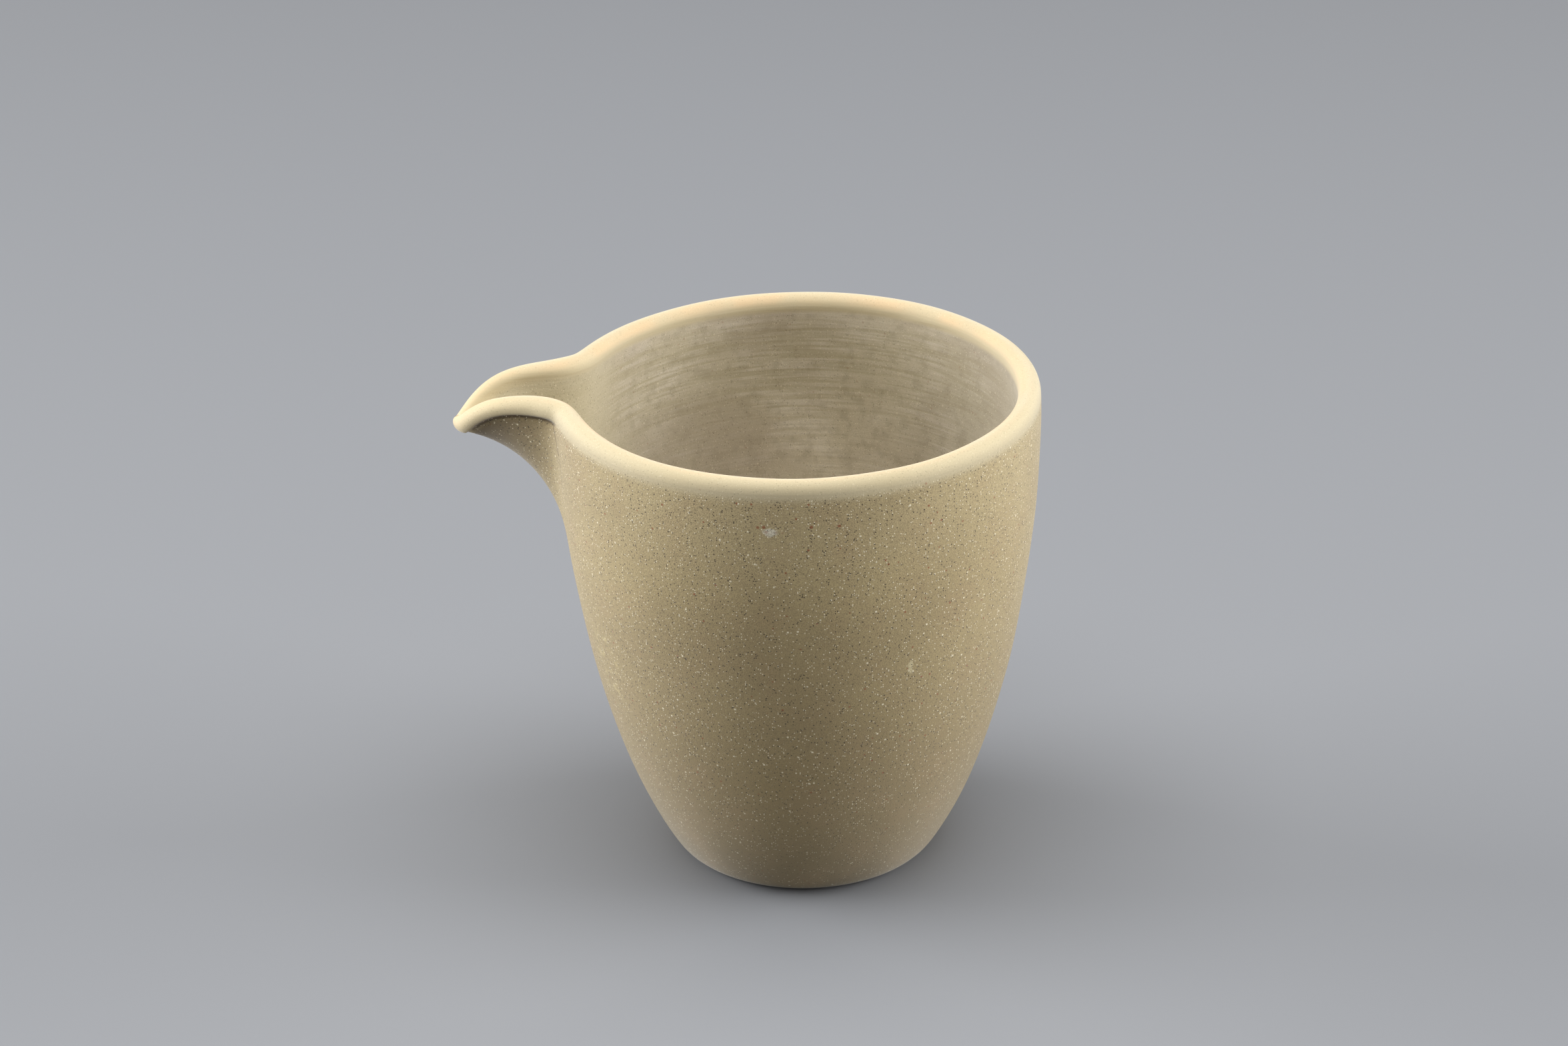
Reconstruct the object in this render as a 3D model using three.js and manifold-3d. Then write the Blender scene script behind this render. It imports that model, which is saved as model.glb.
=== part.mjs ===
// Hand-built clay tea pitcher: a flared round vessel with one pulled pouring spout.
// The floor disc, the wall and the spout are separate pieces of clay, butted face to face.
// Millimetres, +Z up, origin at the centre of the flat face that it stands on, spout towards -X.
import * as THREE from 'three';
import { mergeVertices } from 'three/addons/utils/BufferGeometryUtils.js';
import Module from 'manifold-3d';

// Outside of the wall: one cubic curve from the standing edge to the rim.
const overallHeight = 80;
const standingRadius = 20.9;
const rimRadius = 37.9;
const flareAngle = THREE.MathUtils.degToRad(33.8); // lean of the wall at the standing edge
const flareReach = 27.6; // length of the curve's lower handle
const rimLean = THREE.MathUtils.degToRad(4.1); // lean inwards at the rim
const rimReach = 9.5; // length of the curve's upper handle

// Clay thicknesses.
const wallThickness = 3.5;
const spoutThickness = 2.7;
const rimRounding = 1.9; // height of the rounded top of the rim
const floorThickness = 4.5;
const floorFillet = 7; // reach of the inside curve from the wall to the floor
const standingBevel = 1.1; // rounding of the outer edge of the standing face

// Spout: a strip of the wall that is bent outwards on an arc.
const spoutDepth = 26.2; // from the rim's top down to where the underside leaves the wall
const spoutBend = 17.4; // radius of the underside's arc
const spoutPull = 1.04; // how much longer the strip is drawn than the wall beside it
const spoutHalfAngle = THREE.MathUtils.degToRad(9.7); // half the strip's spread round the vessel
const spoutShoulder = 6.5; // power that sets how sharply the strip's sides turn at the wall
const tipRoundness = 0.7; // share by which the tip is rounded in plan
const lipHold = 4; // power that keeps the lips up while the channel bends down

// Joints between the pieces of clay.
const spoutJointAngle = THREE.MathUtils.degToRad(17.5); // half the angle that the spout piece takes
const spoutJointRise = 1.5; // height of the lower joint above the spout's root
const floorJointHeight = 6.5; // height of the joint between the floor disc and the wall

// Fineness of the surface.
const columns = 88;
const wallRows = 20;
const rimRows = 4;
const columnCrowding = 0.78; // share by which columns gather towards the spout

const rimBase = overallHeight - rimRounding;
const spoutRoot = overallHeight - spoutDepth;

const wallCurve = new THREE.CubicBezierCurve(
  new THREE.Vector2(standingRadius, 0),
  new THREE.Vector2(standingRadius + flareReach * Math.sin(flareAngle), flareReach * Math.cos(flareAngle)),
  new THREE.Vector2(rimRadius + rimReach * Math.sin(rimLean), rimBase - rimReach * Math.cos(rimLean)),
  new THREE.Vector2(rimRadius, rimBase)
);

// 0 away from the spout, 1 on its centre line. Angle 0 points along -X.
function spoutShare(angle) {
  const spread = Math.abs(angle / spoutHalfAngle);
  return 1 / (1 + tipRoundness * spread ** 2 + spread ** spoutShoulder);
}

// Point of the outer surface at a place t on the wall curve and an angle round the vessel.
function outerPoint(t, angle) {
  const place = wallCurve.getPoint(t);
  const above = Math.max(place.y - spoutRoot, 0);
  const bend = above * spoutPull / spoutBend;
  const share = spoutShare(angle);
  const radius = place.x + share * spoutBend * (1 - Math.cos(bend));
  const drop = share ** lipHold * (spoutBend * Math.sin(bend) - above);
  return new THREE.Vector3(-radius * Math.cos(angle), radius * Math.sin(angle), place.y + drop);
}

// The surface's direction up the wall and its outward normal, from two small steps.
function surfaceFrame(t, angle) {
  const step = 1e-3;
  const up = outerPoint(t + step, angle).sub(outerPoint(t - step, angle));
  const along = outerPoint(t, angle + step).sub(outerPoint(t, angle - step));
  const outward = new THREE.Vector3().crossVectors(up, along).normalize();
  return { up: up.normalize(), outward };
}

function thicknessAt(t, angle) {
  const height = wallCurve.getPoint(t).y;
  const rise = THREE.MathUtils.smoothstep(height, spoutRoot, rimBase);
  const share = Math.min(2 * spoutShare(angle), 1);
  return THREE.MathUtils.lerp(wallThickness, spoutThickness, share * rise);
}

function innerPoint(t, angle) {
  return outerPoint(t, angle).addScaledVector(surfaceFrame(t, angle).outward, -thicknessAt(t, angle));
}

// The rounded rim: half an ellipse from the outer surface over to the inner one.
function rimPoint(turn, angle) {
  const { up, outward } = surfaceFrame(1, angle);
  const half = thicknessAt(1, angle) / 2;
  const height = rimRounding * 2 * half / wallThickness;
  return outerPoint(1, angle)
    .addScaledVector(outward, half * (Math.cos(turn) - 1))
    .addScaledVector(up, height * Math.sin(turn));
}

function ring(radius, height) {
  return (angle) => new THREE.Vector3(-radius * Math.cos(angle), radius * Math.sin(angle), height);
}

// Rows from the middle of the standing face, up the outside, over the rim and down to the floor.
const rows = [ring(0, 0), ring(standingRadius / 2, 0), ring(standingRadius - standingBevel, 0)];
const bevelEnd = standingBevel / (3 * flareReach * Math.cos(flareAngle));
rows.push(ring(standingRadius - 0.3 * standingBevel, 0.3 * standingBevel));
for (let i = 0; i <= wallRows; i++) {
  const t = THREE.MathUtils.lerp(bevelEnd, 1, i / wallRows);
  rows.push((angle) => outerPoint(t, angle));
}
for (let i = 1; i < rimRows; i++) {
  rows.push((angle) => rimPoint(Math.PI * i / rimRows, angle));
}
const filletTop = (floorThickness + floorFillet) / overallHeight;
for (let i = wallRows; i > 0; i--) {
  const t = THREE.MathUtils.lerp(filletTop, 1, i / wallRows);
  rows.push((angle) => innerPoint(t, angle));
}

// Inside curve from the wall to the flat floor.
const wallFoot = innerPoint(filletTop, 0);
const wallSlope = surfaceFrame(filletTop, 0).up;
const corner = -wallFoot.x - (wallFoot.z - floorThickness) * (-wallSlope.x / wallSlope.z);
const filletCurve = new THREE.QuadraticBezierCurve(
  new THREE.Vector2(-wallFoot.x, wallFoot.z),
  new THREE.Vector2(corner, floorThickness),
  new THREE.Vector2(corner - floorFillet, floorThickness)
);
for (const place of filletCurve.getPoints(4)) rows.push(ring(place.x, place.y));
rows.push(ring(0, floorThickness));

// Closed mesh through the rows, with the columns gathered towards the spout.
const positions = [];
for (const row of rows) {
  for (let j = 0; j < columns; j++) {
    const even = 2 * Math.PI * (j / columns - 0.5);
    positions.push(...row(even - columnCrowding * Math.sin(even)).toArray());
  }
}
const indices = [];
for (let i = 0; i < rows.length - 1; i++) {
  for (let j = 0; j < columns; j++) {
    const k = (j + 1) % columns;
    const [a, b, c, d] = [i * columns + j, i * columns + k, (i + 1) * columns + j, (i + 1) * columns + k];
    if (i > 0) indices.push(a, c, b);
    if (i < rows.length - 2) indices.push(b, c, d);
  }
}
const vesselGeometry = new THREE.BufferGeometry();
vesselGeometry.setAttribute('position', new THREE.Float32BufferAttribute(positions, 3));
vesselGeometry.setIndex(indices);

const wasm = await Module();
wasm.setup();

function toSolid(geometry) {
  const bare = geometry.clone();
  bare.deleteAttribute('normal');
  bare.deleteAttribute('uv');
  const merged = mergeVertices(bare, 1e-5);
  return new wasm.Manifold(new wasm.Mesh({
    numProp: 3,
    vertProperties: new Float32Array(merged.attributes.position.array),
    triVerts: new Uint32Array(merged.index.array)
  }));
}

function toMesh(solid, name, color) {
  const { vertProperties, triVerts } = solid.getMesh();
  const geometry = new THREE.BufferGeometry();
  geometry.setAttribute('position', new THREE.BufferAttribute(new Float32Array(vertProperties), 3));
  geometry.setIndex(new THREE.BufferAttribute(new Uint32Array(triVerts), 1));
  geometry.computeVertexNormals();
  const material = new THREE.MeshStandardMaterial({ color, roughness: 0.9, metalness: 0 });
  const mesh = new THREE.Mesh(geometry, material);
  mesh.name = name;
  return mesh;
}

// The floor disc is everything below its joint.
const reach = 3 * (rimRadius + spoutBend);
const belowJoint = new THREE.BoxGeometry(reach, reach, reach).translate(0, 0, floorJointHeight - reach / 2);

// The spout piece is the wall's sector between two upright faces and above a level one.
const sector = new THREE.Shape([
  new THREE.Vector2(0, 0),
  new THREE.Vector2(-reach, reach * Math.tan(spoutJointAngle)),
  new THREE.Vector2(-reach, -reach * Math.tan(spoutJointAngle))
]);
const sectorBlock = new THREE.ExtrudeGeometry(sector, { depth: reach, bevelEnabled: false });
sectorBlock.translate(0, 0, spoutRoot + spoutJointRise);

const vessel = toSolid(vesselGeometry);
const floorCutter = toSolid(belowJoint);
const spoutCutter = toSolid(sectorBlock);

const teaPitcher = new THREE.Group();
teaPitcher.add(
  toMesh(vessel.intersect(floorCutter), 'base_disc', '#8d8164'),
  toMesh(vessel.subtract(floorCutter).subtract(spoutCutter), 'vessel_wall', '#a59a7c'),
  toMesh(vessel.intersect(spoutCutter), 'pouring_spout', '#c3b28f')
);

export default teaPitcher;
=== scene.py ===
import math

import bmesh
import bpy
from mathutils import Matrix, Vector, noise


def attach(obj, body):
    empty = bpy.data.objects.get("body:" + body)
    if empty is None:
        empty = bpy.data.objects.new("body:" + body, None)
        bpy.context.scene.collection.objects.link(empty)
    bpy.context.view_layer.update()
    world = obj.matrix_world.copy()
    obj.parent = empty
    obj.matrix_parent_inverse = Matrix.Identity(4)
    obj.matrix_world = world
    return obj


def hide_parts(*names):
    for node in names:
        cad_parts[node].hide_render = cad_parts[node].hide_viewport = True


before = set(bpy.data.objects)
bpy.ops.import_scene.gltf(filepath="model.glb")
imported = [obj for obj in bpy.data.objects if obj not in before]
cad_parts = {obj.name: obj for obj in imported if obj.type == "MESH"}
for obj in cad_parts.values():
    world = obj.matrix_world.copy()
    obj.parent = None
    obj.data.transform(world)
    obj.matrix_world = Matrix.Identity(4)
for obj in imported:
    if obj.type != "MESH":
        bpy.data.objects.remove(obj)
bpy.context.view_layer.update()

mm = 0.001


def degrees(angle):
    return math.radians(angle)


def blendStep(value, low, high):
    # 0 below low, 1 above high, smooth between them
    share = min(max((value - low) / (high - low), 0), 1)
    return share * share * (3 - 2 * share)


def mix(low, high, share):
    return low + (high - low) * share


# The pitcher: wall, floor and spout are luted and fired into one, so one skin goes round all three.
# The sizes are those of the solids, in millimetres.
pitcher = {
    "overallHeight": 80,
    "standingRadius": 20.9,
    "rimRadius": 37.9,
    "flareAngle": degrees(33.8),      # lean of the wall at the standing edge
    "flareReach": 27.6,
    "rimLean": degrees(4.1),
    "rimReach": 9.5,
    "wallThickness": 3.5,
    "spoutThickness": 2.7,
    "rimRounding": 1.9,
    "floorThickness": 4.5,
    "floorFillet": 7,
    "standingBevel": 1.1,
    "spoutDepth": 26.2,               # from the rim's top to where the underside leaves the wall
    "spoutBend": 17.4,                # radius of the underside's arc
    "spoutPull": 1.04,                # how much longer the strip is drawn than the wall beside it
    "spoutHalfAngle": degrees(9.7),
    "spoutShoulder": 6.5,               # how sharply the spout's sides turn
    "tipRoundness": 0.7,
    "lipHold": 4,                     # keeps the lips up while the channel bends down
    "columns": 168,
    "outsideRows": 60,
    "insideRows": 36,
    "rimRows": 10,
    "columnCrowding": 0.78,           # share by which columns gather towards the spout
    "rowCrowding": 1.35,              # power that gathers rows towards the rim
}

# What the potter's hands and tools left on the clay, in millimetres.
handWork = {
    "lipBead": 0.9,                   # rolled edge that stands out along the spout's lips
    "beadHeight": 0.5,
    "creaseDepth": 0.35,              # fold under the rolled edge
    "creaseBelow": 1.05,              # how far the fold lies below the lip
    "creaseWidth": 0.4,
    "creaseFrom": degrees(0.6),
    "creaseTo": degrees(17),
    "wobble": 0.12,                   # uneven hand-pressed wall
    "toolMark": 0.035,                # shallow rings inside
    "toolPitch": 2.6,
}

rimBase = pitcher["overallHeight"] - pitcher["rimRounding"]
spoutRoot = pitcher["overallHeight"] - pitcher["spoutDepth"]
curve = [
    Vector((pitcher["standingRadius"], 0)),
    Vector((pitcher["standingRadius"] + pitcher["flareReach"] * math.sin(pitcher["flareAngle"]),
            pitcher["flareReach"] * math.cos(pitcher["flareAngle"]))),
    Vector((pitcher["rimRadius"] + pitcher["rimReach"] * math.sin(pitcher["rimLean"]),
            rimBase - pitcher["rimReach"] * math.cos(pitcher["rimLean"]))),
    Vector((pitcher["rimRadius"], rimBase)),
]


def wallPlace(t):
    # radius and height of the wall's outside at a place from 0 at the foot to 1 at the rim
    s = 1 - t
    return s ** 3 * curve[0] + 3 * s * s * t * curve[1] + 3 * s * t * t * curve[2] + t ** 3 * curve[3]


def spoutShare(angle):
    # 1 on the spout's centre line, 0 away from it
    spread = abs(angle / pitcher["spoutHalfAngle"])
    return 1 / (1 + pitcher["tipRoundness"] * spread ** 2 + spread ** pitcher["spoutShoulder"])


def outerPoint(t, angle):
    place = wallPlace(t)
    above = max(place.y - spoutRoot, 0)
    bend = above * pitcher["spoutPull"] / pitcher["spoutBend"]
    share = spoutShare(angle)
    radius = place.x + share * pitcher["spoutBend"] * (1 - math.cos(bend))
    drop = share ** pitcher["lipHold"] * (pitcher["spoutBend"] * math.sin(bend) - above)
    return Vector((-radius * math.cos(angle), radius * math.sin(angle), place.y + drop))


def surfaceFrame(t, angle):
    step = 1e-3
    up = outerPoint(t + step, angle) - outerPoint(t - step, angle)
    along = outerPoint(t, angle + step) - outerPoint(t, angle - step)
    return up.normalized(), up.cross(along).normalized()


def thicknessAt(t, angle):
    height = wallPlace(t).y
    rise = blendStep(height, spoutRoot, rimBase)
    share = min(2 * spoutShare(angle), 1)
    return mix(pitcher["wallThickness"], pitcher["spoutThickness"], share * rise)


def lipRelief(t, angle):
    # rolled lip and the fold under it, along the spout's sides
    below = (1 - t) * 3 * pitcher["rimReach"]      # close to the rim a step of t is this long
    side = blendStep(abs(angle), handWork["creaseFrom"], degrees(3.5))
    side *= 1 - blendStep(abs(angle), degrees(12.5), handWork["creaseTo"])
    roll = 1 - blendStep(below, handWork["beadHeight"], handWork["creaseBelow"])
    fold = math.exp(-((below - handWork["creaseBelow"]) / handWork["creaseWidth"]) ** 2)
    return side * (handWork["lipBead"] * roll - handWork["creaseDepth"] * fold)


def placePoint(t, depth, turn, angle):
    # depth goes from 0 outside to 1 inside, turn is the angle over the rounded rim
    up, outward = surfaceFrame(t, angle)
    thick = thicknessAt(t, angle)
    point = outerPoint(t, angle)
    if turn > 0:
        roll = lipRelief(1, angle)
        half = (thick + roll) / 2
        tall = pitcher["rimRounding"] * thick / pitcher["wallThickness"]
        return point + outward * (roll - half + half * math.cos(turn)) + up * tall * math.sin(turn)
    if depth == 0:
        return point + outward * lipRelief(t, angle)
    return point - outward * thick


def makePitcher():
    bm = bmesh.new()
    tLayer = bm.verts.layers.float.new("place")
    depthLayer = bm.verts.layers.float.new("inside")
    turnLayer = bm.verts.layers.float.new("turn")
    profile = []

    def addPoint(radius, height, t=-1, depth=0, turn=0):
        vert = bm.verts.new((-radius, 0, height))
        vert[tLayer] = t
        vert[depthLayer] = depth
        vert[turnLayer] = turn
        profile.append(vert)

    # profile from the middle of the standing face, up the outside, over the rim, down to the floor
    foot = pitcher["standingRadius"]
    bevel = pitcher["standingBevel"]
    for radius in (0, foot * 0.4, foot * 0.8, foot - 1.6 * bevel, foot - bevel):
        addPoint(radius, 0)
    addPoint(foot - 0.3 * bevel, 0.3 * bevel)
    first = bevel / (3 * pitcher["flareReach"] * math.cos(pitcher["flareAngle"]))
    rows = pitcher["outsideRows"]
    for i in range(rows + 1):
        t = 1 - (1 - first) * (1 - i / rows) ** pitcher["rowCrowding"]
        place = wallPlace(t)
        addPoint(place.x, place.y, t)
    for i in range(1, pitcher["rimRows"]):
        turn = math.pi * i / pitcher["rimRows"]
        addPoint(pitcher["rimRadius"] - 1 - i / 10, pitcher["overallHeight"], 1, i / pitcher["rimRows"], turn)
    last = (pitcher["floorThickness"] + pitcher["floorFillet"]) / pitcher["overallHeight"]
    rows = pitcher["insideRows"]
    for i in range(rows + 1):
        t = 1 - (1 - last) * (i / rows) ** pitcher["rowCrowding"]
        place = wallPlace(t)
        addPoint(place.x - pitcher["wallThickness"], place.y, t, 1)

    # inside curve from the wall to the flat floor
    wallFoot = placePoint(last, 1, 0, math.pi)
    slope = surfaceFrame(last, math.pi)[0]
    floor = pitcher["floorThickness"]
    corner = Vector((wallFoot.x - (wallFoot.z - floor) * slope.x / slope.z, floor))
    ends = [Vector((wallFoot.x, wallFoot.z)), corner, corner - Vector((pitcher["floorFillet"], 0))]
    for i in range(1, 9):
        s = i / 8
        place = (1 - s) ** 2 * ends[0] + 2 * s * (1 - s) * ends[1] + s * s * ends[2]
        addPoint(place.x, place.y, depth=1)
    for share in (0.7, 0.4, 0):
        addPoint(ends[2].x * share, floor, depth=1)
    edges = [bm.edges.new(pair) for pair in zip(profile, profile[1:])]

    bmesh.ops.spin(bm, geom=profile + edges, cent=(0, 0, 0), axis=(0, 0, 1), dvec=(0, 0, 0),
                   angle=2 * math.pi, steps=pitcher["columns"], use_merge=True, use_duplicate=False)
    bmesh.ops.remove_doubles(bm, verts=bm.verts, dist=1e-4)

    # the spout is pulled out of the turned shape, and the columns gather towards it
    heightLayer = bm.verts.layers.float.new("wallHeight")
    belowLayer = bm.verts.layers.float.new("belowRim")
    spoutLayer = bm.verts.layers.float.new("spout")
    angleLayer = bm.verts.layers.float.new("fromSpout")
    for vert in bm.verts:
        t, depth, turn = vert[tLayer], vert[depthLayer], vert[turnLayer]
        even = math.atan2(vert.co.y, -vert.co.x)
        angle = even - pitcher["columnCrowding"] * math.sin(even)
        height = wallPlace(t).y if t >= 0 else vert.co.z
        if t >= 0:
            vert.co = placePoint(t, depth, turn, angle)
        else:
            radius = vert.co.xy.length
            vert.co = Vector((-radius * math.cos(angle), radius * math.sin(angle), vert.co.z))
        vert[heightLayer] = height / pitcher["overallHeight"]
        # millimetres below the rim's rounding, and degrees round from the spout
        vert[belowLayer] = (1 - t) * 3 * pitcher["rimReach"] if t >= 0 else 99
        vert[spoutLayer] = spoutShare(angle) * blendStep(height, spoutRoot, rimBase)
        vert[angleLayer] = max(min(math.degrees(angle), 60), -60)

    bmesh.ops.recalc_face_normals(bm, faces=bm.faces)
    bm.normal_update()

    # uneven hand-pressed surface, and shallow rings that a smoothing tool left inside
    moves = []
    for vert in bm.verts:
        flat = vert.co.z < 0.4 or vert[tLayer] < 0
        uneven = 0 if flat else handWork["wobble"] * noise.noise(vert.co / 13)
        if vert[depthLayer] == 1 and vert[tLayer] >= 0:
            slant = vert.co.z - 0.18 * vert.co.x + 4 * noise.noise(vert.co / 28)
            strength = handWork["toolMark"] * max(0.2 + 1.6 * noise.noise(vert.co / 11), 0)
            uneven += strength * math.sin(2 * math.pi * slant / handWork["toolPitch"])
        moves.append(vert.normal * uneven)
    for vert, move in zip(bm.verts, moves):
        vert.co += move
    bmesh.ops.scale(bm, vec=(mm, mm, mm), verts=bm.verts)
    for face in bm.faces:
        face.smooth = True

    mesh = bpy.data.meshes.new("pitcher_skin")
    bm.to_mesh(mesh)
    bm.free()
    piece = bpy.data.objects.new("pitcher_skin", mesh)
    bpy.context.scene.collection.objects.link(piece)
    smoothing = piece.modifiers.new("smooth clay", "SUBSURF")
    smoothing.levels = 1
    smoothing.render_levels = 1
    return piece


def hexColor(code):
    # sRGB hex to linear colour
    parts = [int(code[i:i + 2], 16) / 255 for i in (1, 3, 5)]
    return tuple(c / 12.92 if c <= 0.04045 else ((c + 0.055) / 1.055) ** 2.4 for c in parts) + (1,)


def addNode(tree, kind, settings=None, links=None):
    # settings name a property or an input socket; links give an input socket its source
    node = tree.nodes.new(kind)
    for name, value in (settings or {}).items():
        if isinstance(name, str) and hasattr(node, name):
            setattr(node, name, value)
        else:
            node.inputs[name].default_value = value
    for name, source in (links or {}).items():
        tree.links.new(source, node.inputs[name])
    return node


def addRamp(tree, source, stops):
    node = addNode(tree, "ShaderNodeValToRGB", links={"Fac": source})
    elements = node.color_ramp.elements
    while len(elements) < len(stops):
        elements.new(0.5)
    for element, (place, code) in zip(elements, stops):
        element.position = place
        element.color = hexColor(code)
    return node.outputs["Color"]


# Sizes in millimetres of what the clay's surface shows.
clay = {
    "grainSize": 0.3,                # spacing of the sand, drawn a little coarse so that it shows
    "grainRadius": 0.44,              # share of that spacing
    "coarseSize": 0.75,               # spacing of the few large grains
    "fineSize": 0.2,
    "toneSize": 26,
    "blotchSize": 6,
    "streakHeight": 0.6,
    "streakLength": 11,
    "pasteSpot": Vector((-1.8, -37.9, 72.0)),       # dab of dried slip
    "pasteSize": 1.3,
    "chipSpot": Vector((18.6, -30.5, 45.8)),        # short pale scratch
    "chipSize": (0.7, 2.2),
    "scuffSpot": Vector((-29.0, -18.5, 40.0)),      # rubbed patch low on the spout's side
    "scuffSize": (4.5, 9.0),
    "rustHeight": 72.8,               # a row of reddish grains
    "rustRow": (-6.0, 11.0),
}


def sandyClay():
    # Unglazed sandy stoneware, hand-built and fired: matte, khaki, full of pale and dark grit.
    # The rim and the spout's lips are sponged smooth, so they are paler and a little less rough; their pale colour
    # also carries a painted highlight.
    material = bpy.data.materials.new("unglazed_sandy_clay")
    material.use_nodes = True
    tree = material.node_tree
    tree.nodes.clear()
    place = addNode(tree, "ShaderNodeTexCoord").outputs["Object"]

    def attribute(name):
        return addNode(tree, "ShaderNodeAttribute", {"attribute_name": name}).outputs["Fac"]

    def noiseAt(size, detail=3, source=place):
        node = addNode(tree, "ShaderNodeTexNoise", {"Scale": 1 / (size * mm), "Detail": detail}, {"Vector": source})
        return node.outputs["Fac"]

    def band(source, low, high, toLow=0.0, toHigh=1.0):
        node = addNode(tree, "ShaderNodeMapRange",
                       {"interpolation_type": "SMOOTHSTEP", "From Min": low, "From Max": high,
                        "To Min": toLow, "To Max": toHigh}, {"Value": source})
        return node.outputs["Result"]

    def calc(operation, *values):
        node = addNode(tree, "ShaderNodeMath", {"operation": operation})
        for socket, value in zip(node.inputs, values):
            if isinstance(value, (int, float)):
                socket.default_value = value
            else:
                tree.links.new(value, socket)
        return node.outputs[0]

    def tint(share, low, high):
        node = addNode(tree, "ShaderNodeMix", {"data_type": "RGBA"})
        for socket, value in ((node.inputs[0], share), (node.inputs[6], low), (node.inputs[7], high)):
            if isinstance(value, (int, float)):
                socket.default_value = value
            elif isinstance(value, str):
                socket.default_value = hexColor(value)
            else:
                tree.links.new(value, socket)
        return node.outputs[2]

    height = attribute("wallHeight")
    depth = attribute("inside")
    inside = band(depth, 0.55, 0.95)
    outside = calc("SUBTRACT", 1, inside)
    below = attribute("belowRim")
    angle = attribute("fromSpout")
    spout = attribute("spout")
    tone = noiseAt(clay["toneSize"])
    blotch = noiseAt(clay["blotchSize"], 4)

    # outside: darker towards the foot and lighter towards the rim, painted shade on the lower wall and painted light
    # on the upper wall from the top lamp
    outer = addRamp(tree, height, [(0.0, "#7b6b49"), (0.3, "#978459"), (0.75, "#b3a073"), (1.0, "#baa87e")])
    outer = tint(band(tone, 0.4, 0.7, 0, 0.5), outer, "#96835c")
    outer = tint(band(blotch, 0.45, 0.75, 0, 0.2), outer, "#a88c66")

    # inside: smoothed with a tool, so soft streaks run round it on a slant
    flatness = clay["streakHeight"] / clay["streakLength"]
    streakPlace = addNode(tree, "ShaderNodeMapping",
                          {"Rotation": (0.05, -0.2, 0), "Scale": (flatness, flatness, 1)}, {"Vector": place})
    streaks = noiseAt(clay["streakHeight"], 4, streakPlace.outputs["Vector"])
    patches = noiseAt(clay["blotchSize"] * 1.6, 2)
    inner = tint(calc("MULTIPLY", band(streaks, 0.35, 0.7), band(patches, 0.4, 0.65)), "#c6bba2", "#d6ccb8")
    inner = tint(band(noiseAt(2.2, 4), 0.45, 0.7, 0, 0.45), inner, "#9f947c")
    inner = tint(band(tone, 0.42, 0.62, 0, 0.55), inner, "#a99b86")
    collar = calc("MULTIPLY", band(below, 1.2, 3), band(below, 12, 6))
    inner = tint(calc("MULTIPLY", collar, band(streaks, 0.6, 0.35, 0.2, 0.5)), inner, "#9a8e6a")
    across = addNode(tree, "ShaderNodeSeparateXYZ", links={"Vector": place}).outputs["X"]
    # inside: darker towards the right, painted shade on the right wall
    inner = tint(band(across, 10 * mm, 34 * mm, 0, 0.5), inner, "#8d8370")
    throat = calc("MULTIPLY", band(calc("ABSOLUTE", angle), 38, 14), band(height, 0.35, 0.7))
    inner = tint(calc("MULTIPLY", throat, 0.75), inner, "#bcb08f")
    # painted shade on the spout's flank under the rolled lip
    shadedFlank = calc("MULTIPLY", spout, band(below, 1.0, 2.0))
    outer = tint(calc("MULTIPLY", shadedFlank, 0.95), outer, "#625441")
    color = tint(inside, outer, inner)

    # smooth pale rim, with a warm blush along its inner edge and over the lips; the paleness of rim and lips is
    # partly sponged clay and partly painted highlight
    reach = calc("SUBTRACT", 1.7, calc("MULTIPLY", inside, 0.6))
    rim = calc("MULTIPLY", band(calc("DIVIDE", below, reach), 1, 0.15), band(noiseAt(11, 2), 0.2, 0.6, 0.8, 1))
    color = tint(rim, color, "#c1b391")
    blush = calc("MULTIPLY", band(depth, 0.25, 0.6), band(depth, 0.99, 0.75))
    color = tint(calc("MULTIPLY", blush, band(noiseAt(8, 2), 0.3, 0.65, 0.1, 0.5)), color, "#d8b488")
    # pale spout lips: partly sponged clay, partly painted highlight
    color = tint(calc("MULTIPLY", spout, band(below, 1.5, 0.9, 0.0, 0.4)), color, "#cfba8d")
    side = calc("ABSOLUTE", angle)
    # painted shade on the underside of the rolled lip
    underRollShade = calc("MULTIPLY", calc("MULTIPLY", band(side, 1.5, 4), band(side, 17, 12)), outside)
    underRollShade = calc("MULTIPLY", underRollShade, calc("MULTIPLY", band(below, 0.1, 0.8), band(below, 1.6, 1.1)))
    color = tint(calc("MULTIPLY", underRollShade, 0.8), color, "#7b6a50")

    # painted shadow in the fold under the rolled lip, and the dark joint line that runs down from its end
    fold = calc("MULTIPLY", band(calc("ABSOLUTE", calc("SUBTRACT", below, 1.15)), 0.28, 0.06),
                calc("MULTIPLY", band(side, 1.5, 4), band(side, 17, 15.4)))
    bow = calc("ADD", 15.4, calc("MULTIPLY", band(below, 1.0, 6), 3.2))
    joint = calc("MULTIPLY", band(calc("ABSOLUTE", calc("SUBTRACT", side, bow)), 0.35, 0.08),
                 calc("MULTIPLY", band(below, 1.0, 1.2), band(below, 7.5, 4)))
    foldShadeAndJoint = calc("MULTIPLY", calc("MAXIMUM", fold, calc("MULTIPLY", joint, 0.7)), outside)
    color = tint(calc("MULTIPLY", foldShadeAndJoint, 0.65), color, "#42321f")
    stain = calc("MULTIPLY", band(calc("ABSOLUTE", calc("SUBTRACT", angle, 3.5)), 2.2, 0.4),
                 calc("MULTIPLY", band(calc("ABSOLUTE", calc("SUBTRACT", below, 3.0)), 1.5, 0.3), inside))
    color = tint(calc("MULTIPLY", stain, band(noiseAt(0.9, 3), 0.35, 0.6, 0.1, 0.8)), color, "#a0703c")

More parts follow.
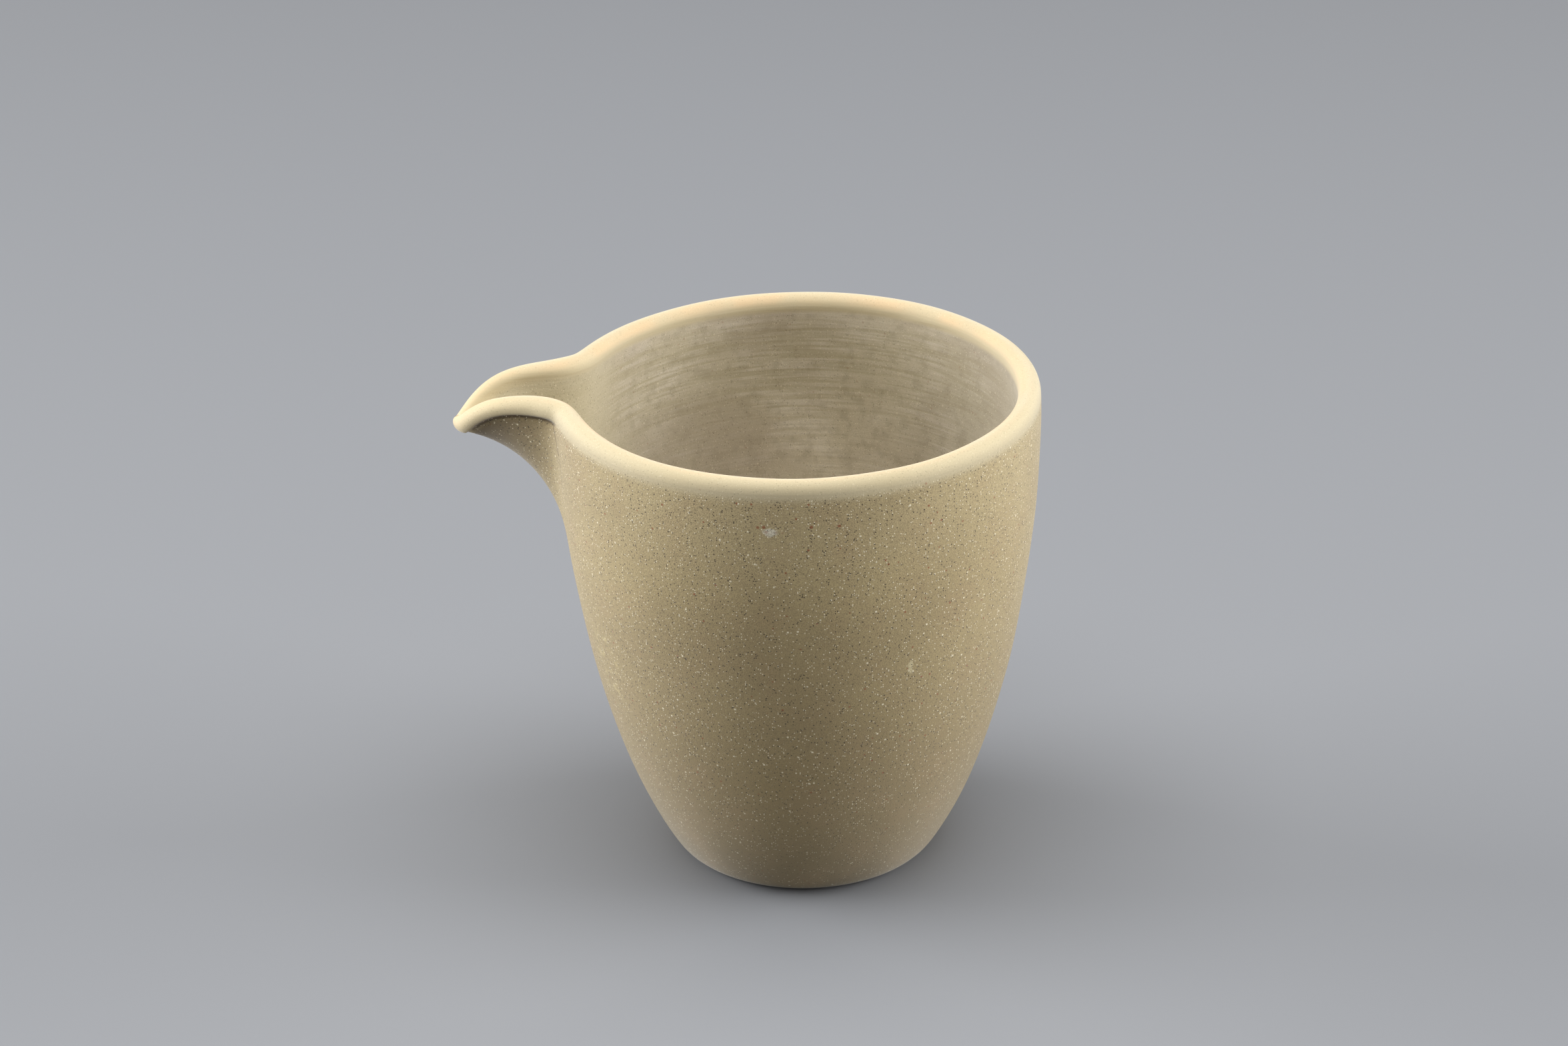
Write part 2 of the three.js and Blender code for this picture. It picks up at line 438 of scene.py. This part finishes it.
    # small marks on the front: a dab of slip, a scratch and a rubbed patch
    def markAt(spot, width, tall):
        apart = addNode(tree, "ShaderNodeVectorMath", {"operation": "SUBTRACT", 1: spot * mm}, {0: place})
        size = Vector((1 / width, 1 / width, 1 / tall)) / mm
        shape = addNode(tree, "ShaderNodeVectorMath", {"operation": "MULTIPLY", 1: size}, {0: apart.outputs[0]})
        return addNode(tree, "ShaderNodeVectorMath", {"operation": "LENGTH"}, {0: shape.outputs[0]}).outputs["Value"]

    ragged = calc("MULTIPLY", noiseAt(0.8, 3), 0.9)
    paste = markAt(clay["pasteSpot"], clay["pasteSize"], clay["pasteSize"] * 0.7)
    color = tint(band(calc("ADD", paste, ragged), 1.4, 0.9, 0, 0.8), color, "#e2dcc8")
    chip = markAt(clay["chipSpot"], *clay["chipSize"])
    color = tint(band(calc("ADD", chip, ragged), 1.3, 0.8, 0, 0.6), color, "#e0d3a8")
    scuff = markAt(clay["scuffSpot"], *clay["scuffSize"])
    rubbed = calc("MULTIPLY", band(scuff, 1.1, 0.3), band(noiseAt(1.6, 4), 0.52, 0.66))
    color = tint(calc("MULTIPLY", rubbed, 0.6), color, "#d8c78f")

    # grit: pale, dark and a few reddish grains
    def grains(size, share, radius, channel):
        cells = addNode(tree, "ShaderNodeTexVoronoi", {"Scale": 1 / (size * mm)}, {"Vector": place})
        parts = addNode(tree, "ShaderNodeSeparateColor", links={"Color": cells.outputs["Color"]})
        chosen = band(parts.outputs[channel], 1 - share, 1 - share * 0.8)
        return calc("MULTIPLY", chosen, band(cells.outputs["Distance"], radius, radius * 0.5))

    bare = calc("MULTIPLY", band(inside, 0, 1, 1, 0.3), band(below, 0.2, 1.3, 0.2, 1))
    bare = calc("MULTIPLY", bare, band(height, 0.0, 0.45, 0.45, 1))
    radius = clay["grainRadius"]
    large = grains(clay["coarseSize"], 0.05, 0.3, 1)
    pale = calc("MULTIPLY", calc("MAXIMUM", grains(clay["grainSize"], 0.17, radius, 0), large), bare)
    dark = calc("MULTIPLY", grains(clay["grainSize"] * 1.1, 0.2, radius, 1), bare)
    parts = addNode(tree, "ShaderNodeSeparateXYZ", links={"Vector": place}).outputs
    level = parts["Z"]
    rowLow, rowHigh = (edge * mm for edge in clay["rustRow"])
    rust = calc("MULTIPLY", band(across, rowLow, rowLow + 3 * mm), band(across, rowHigh, rowHigh - 3 * mm))
    fromRow = calc("ABSOLUTE", calc("SUBTRACT", level, clay["rustHeight"] * mm))
    rust = calc("MULTIPLY", rust, band(fromRow, 1.4 * mm, 0.3 * mm))
    rust = calc("MULTIPLY", calc("MULTIPLY", rust, calc("LESS_THAN", parts["Y"], 0)), outside)
    rust = calc("MULTIPLY", rust, grains(0.9, 0.3, 0.38, 2))
    red = calc("MULTIPLY", calc("MAXIMUM", grains(clay["coarseSize"], 0.03, 0.32, 2), rust), bare)
    fine = noiseAt(clay["fineSize"], 2)
    color = tint(calc("MULTIPLY", band(fine, 0.4, 0.65, 0, 0.45), bare), color, "#75654a")
    color = tint(calc("MULTIPLY", pale, 0.85), color, "#f0e5c6")
    color = tint(calc("MULTIPLY", dark, 0.85), color, "#362c1e")
    color = tint(calc("MULTIPLY", red, 0.8), color, "#8a4b26")

    relief = calc("ADD", calc("MULTIPLY", calc("MULTIPLY", fine, bare), 0.8), calc("MULTIPLY", pale, 0.5))
    relief = calc("SUBTRACT", relief, calc("MULTIPLY", dark, 0.5))
    relief = calc("SUBTRACT", relief, calc("MULTIPLY", foldShadeAndJoint, 2.0))
    relief = calc("ADD", relief, calc("MULTIPLY", calc("MULTIPLY", streaks, inside), 0.8))
    bump = addNode(tree, "ShaderNodeBump", {"Strength": 0.5, "Distance": 0.12 * mm}, {"Height": relief})

    shader = addNode(tree, "ShaderNodeBsdfPrincipled",
                     {"Metallic": 0.0, "IOR": 1.45, "Sheen Weight": 0.3, "Sheen Roughness": 0.5},
                     {"Base Color": color, "Roughness": band(rim, 0, 1, 0.92, 0.75),
                      "Normal": bump.outputs["Normal"]})
    addNode(tree, "ShaderNodeOutputMaterial", links={"Surface": shader.outputs["BSDF"]})
    return material


skin = makePitcher()
skin.data.materials.append(sandyClay())
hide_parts("vessel_wall", "base_disc", "pouring_spout")
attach(skin, "root")
print("pitcher made:", len(skin.data.vertices), "points")


# Floor, light and camera
studio = {
    "floorColor": "#838589",
    "floorSize": 8.0,
    "worldColor": "#ffffff",
    "worldStrength": 0.28,
}


def makeFloor():
    bm = bmesh.new()
    bmesh.ops.create_grid(bm, x_segments=1, y_segments=1, size=studio["floorSize"] / 2)
    mesh = bpy.data.meshes.new("floor")
    bm.to_mesh(mesh)
    bm.free()
    floor = bpy.data.objects.new("floor", mesh)
    bpy.context.scene.collection.objects.link(floor)
    material = bpy.data.materials.new("painted_board")
    material.use_nodes = True
    shader = material.node_tree.nodes["Principled BSDF"]
    shader.inputs["Base Color"].default_value = hexColor(studio["floorColor"])
    shader.inputs["Roughness"].default_value = 0.7
    mesh.materials.append(material)


def addSoftbox(name, place, size, power):
    light = bpy.data.lights.new(name, "AREA")
    light.shape = "RECTANGLE"
    light.size, light.size_y = size
    light.energy = power
    lamp = bpy.data.objects.new(name, light)
    target = Vector((0, 0, 0.04))
    lamp.location = place
    lamp.rotation_euler = (target - Vector(place)).to_track_quat("-Z", "Y").to_euler()
    bpy.context.scene.collection.objects.link(lamp)


makeFloor()
addSoftbox("top softbox", (0.0, -0.06, 0.75), (0.7, 0.6), 5.6)
addSoftbox("left softbox", (-1.5, 0.17, 0.47), (1.07, 1.07), 35.5)
addSoftbox("right softbox", (1.5, 0.11, 0.47), (1.07, 1.07), 29)

world = bpy.data.worlds.new("studio air")
bpy.context.scene.world = world
world.use_nodes = True
world.node_tree.nodes["Background"].inputs["Color"].default_value = hexColor(studio["worldColor"])
world.node_tree.nodes["Background"].inputs["Strength"].default_value = studio["worldStrength"]

# The camera looks down at the pitcher from the front, with the spout turned a little away.
view = {
    "focalPixels": 5750,
    "imageWidth": 2351,
    "sensorWidth": 36,
    "pitch": degrees(25.74),
    "roll": degrees(-1.35),
    "turn": degrees(4.4),
    "footRight": 3.76,                # where the foot's centre lies from the camera, in millimetres
    "footDown": 49.8,
    "footAhead": 632,
}


def makeCamera():
    sinPitch, cosPitch = math.sin(view["pitch"]), math.cos(view["pitch"])
    sinRoll, cosRoll = math.sin(view["roll"]), math.cos(view["roll"])
    across, down, ahead = Vector((1, 0, 0)), Vector((0, -sinPitch, -cosPitch)), Vector((0, cosPitch, -sinPitch))
    right = cosRoll * across - sinRoll * down
    below = sinRoll * across + cosRoll * down
    place = -(right * view["footRight"] + below * view["footDown"] + ahead * view["footAhead"]) * mm
    stand = Matrix((right, -below, -ahead)).transposed().to_4x4()
    stand.translation = place
    data = bpy.data.cameras.new("camera")
    data.sensor_width = view["sensorWidth"]
    data.sensor_fit = "HORIZONTAL"
    data.lens = view["sensorWidth"] * view["focalPixels"] / view["imageWidth"]
    data.clip_start = 0.01
    camera = bpy.data.objects.new("camera", data)
    camera.matrix_world = Matrix.Rotation(view["turn"], 4, "Z") @ stand
    bpy.context.scene.collection.objects.link(camera)
    bpy.context.scene.camera = camera


makeCamera()
bpy.context.scene.view_settings.view_transform = "Standard"
print("studio set")
